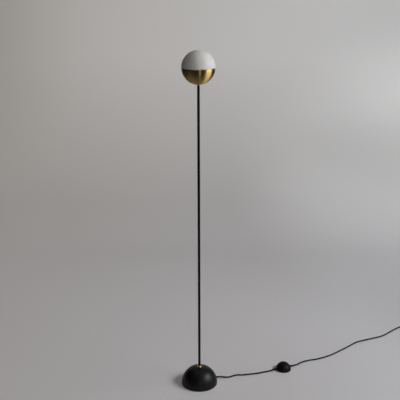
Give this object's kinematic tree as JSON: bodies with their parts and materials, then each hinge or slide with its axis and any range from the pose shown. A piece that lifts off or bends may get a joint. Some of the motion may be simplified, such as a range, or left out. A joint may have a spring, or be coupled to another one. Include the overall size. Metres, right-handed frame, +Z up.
{
  "type": "floor lamp",
  "caption": "Floor lamp: an opal glass ball set in a brass cup on a slim black pole with a black half-ball foot, a twisted flex with a domed foot switch and an earthed plug.",
  "frame": {"origin": "on the floor at the middle of the foot, on the pole's axis", "axes": "+Z up along the pole, +X to the foot switch's side, +Y to the back"},
  "size_m": [1.3807, 0.783, 1.6296],
  "materials": {
    "black_casting": "fine matt black powder coat on cast iron",
    "black_paint": "satin black powder coat on steel",
    "brass": "satin spun brass, lacquered",
    "opal_glass": "matt white opal glass",
    "steel": "zinc plated steel",
    "felt": "dark felt",
    "black_rubber": "matt black rubber",
    "clear_silicone": "translucent silicone",
    "black_plastic": "fine textured black plastic",
    "white_plastic": "off-white plastic",
    "white_ceramic": "unglazed white ceramic",
    "frosted_envelope": "frosted white bulb envelope",
    "black_braid": "black textile braid, three twisted cores",
    "tie_webbing": "black woven webbing strap",
    "lead_sleeve": "heat resistant white sleeve",
    "earth_sleeve": "green and yellow insulation",
    "nickel": "nickel plated brass"
  },
  "bodies": {
    "lamp": {"base_casting": "black_casting", "pole": "black_paint", "base_plate": "black_paint", "brass_cup": "brass", "neck_ring": "brass", "pole_collar": "brass", "terminal_screws": "brass", "holder_contacts": "brass", "plate_screws": "steel", "base_nipple": "steel", "base_washer": "steel", "base_nut": "steel", "earth_tag": "steel", "head_nipple": "steel", "head_washer": "steel", "head_nut": "steel", "holder_cap": "steel", "holder_screws": "steel", "clamp_screws": "steel", "block_screws": "steel", "switch_screws": "steel", "grip_screws": "steel", "button_spring": "steel", "felt_pad": "felt", "switch_feet": "black_rubber", "switch_grommets": "black_rubber", "cord_bush": "black_rubber", "globe_gasket": "clear_silicone", "switch_shell": "black_plastic", "switch_base": "black_plastic", "plug_body": "black_plastic", "plug_relief": "black_plastic", "clamp_block": "white_plastic", "clamp_bar": "white_plastic", "terminal_block": "white_plastic", "switch_mechanism": "white_plastic", "switch_grips": "white_plastic", "lamp_holder": "white_ceramic", "cord_in_base": "black_braid", "switch_leads": "black_braid", "cord_to_switch": "black_braid", "cord_to_coil": "black_braid", "cord_coil": "black_braid", "cord_to_plug": "black_braid", "coil_tie": "tie_webbing", "pole_lead": "lead_sleeve", "earth_lead": "earth_sleeve", "plug_pins": "nickel", "plug_earth_strips": "nickel"},
    "globe": {"opal_globe": "opal_glass"},
    "bulb": {"bulb_base": "white_plastic", "bulb_pins": "nickel", "bulb_envelope": "frosted_envelope", "led_core": "white_ceramic"},
    "button": {"switch_button": "black_plastic"}
  },
  "joints": [
    {"name": "globe_lift", "type": "slide", "parent": "lamp", "child": "globe", "axis": [0, 0, 1], "range_m": [0, 0.12]},
    {"name": "bulb_pull", "type": "slide", "parent": "lamp", "child": "bulb", "axis": [0, 0, 1], "range_m": [0, 0.025]},
    {"name": "switch_press", "type": "slide", "parent": "lamp", "child": "button", "axis": [0, 0, -1], "range_m": [0, 0.003], "stiffness_N_per_m": 800, "springref_m": -0.0025, "deforming": ["button_spring"]}
  ]
}
